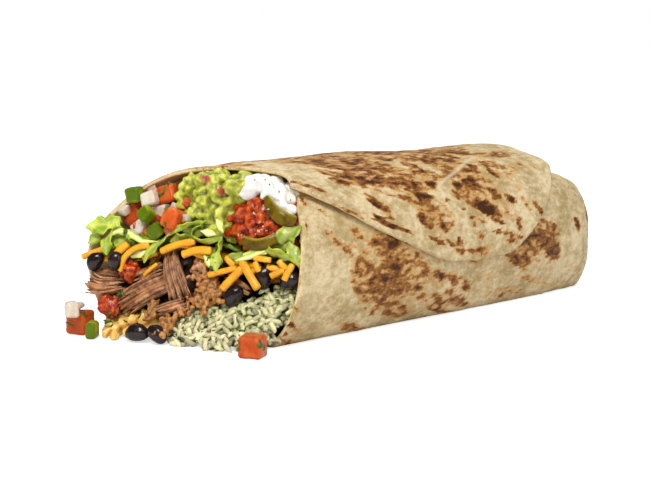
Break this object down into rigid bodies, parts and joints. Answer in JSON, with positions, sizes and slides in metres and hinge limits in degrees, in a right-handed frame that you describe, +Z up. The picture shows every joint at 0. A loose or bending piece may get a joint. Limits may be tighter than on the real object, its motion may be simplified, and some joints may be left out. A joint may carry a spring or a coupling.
{
  "type": "burrito",
  "caption": "Rolled flour tortilla lying flat, folded shut at one end and open at the other, with layered fillings showing and spilling a little at the mouth.",
  "frame": {"origin": "on the tortilla's flat underside, under the middle of the roll", "axes": "+X along the roll from the open mouth to the folded end, +Y to the far side of the picture, +Z up"},
  "size_m": [0.2843, 0.1038, 0.0747],
  "materials": {
    "tortilla": "dry flour dough, toasted in brown patches",
    "rice": "cooked rice with chopped herbs",
    "beef": "moist shredded beef",
    "cheddar": "grated orange cheese",
    "melted_cheese": "melted orange cheese",
    "lettuce": "crisp green leaf",
    "pico": "mixed chopped vegetables",
    "guacamole": "lumpy mashed avocado",
    "cream": "thick white cream",
    "salsa": "wet chunky red salsa",
    "jalapeno": "pickled olive green pepper",
    "bean": "glossy black bean skin",
    "tomato": "wet cut tomato",
    "onion": "wet cut white onion",
    "pepper": "wet cut green pepper"
  },
  "bodies": {
    "root": {"tortilla": "tortilla", "rice": "rice", "shredded_beef": "beef", "shredded_cheddar": "cheddar", "melted_cheese": "melted_cheese", "lettuce": "lettuce", "pico_de_gallo": "pico", "guacamole": "guacamole", "sour_cream": "cream", "salsa": "salsa", "salsa_drop_1": "salsa", "salsa_drop_2": "salsa", "jalapeno_slice_1": "jalapeno", "jalapeno_slice_2": "jalapeno", "black_bean_1": "bean", "black_bean_2": "bean", "black_bean_3": "bean", "black_bean_4": "bean", "black_bean_5": "bean", "black_bean_6": "bean", "black_bean_7": "bean", "black_bean_8": "bean", "tomato_dice_1": "tomato", "tomato_dice_2": "tomato", "tomato_dice_3": "tomato", "tomato_dice_4": "tomato", "tomato_dice_5": "tomato", "onion_dice_1": "onion", "onion_dice_2": "onion", "onion_dice_3": "onion", "onion_dice_4": "onion", "onion_dice_5": "onion", "pepper_dice_1": "pepper", "pepper_dice_2": "pepper", "pepper_dice_3": "pepper", "pepper_dice_4": "pepper"}
  },
  "joints": []
}
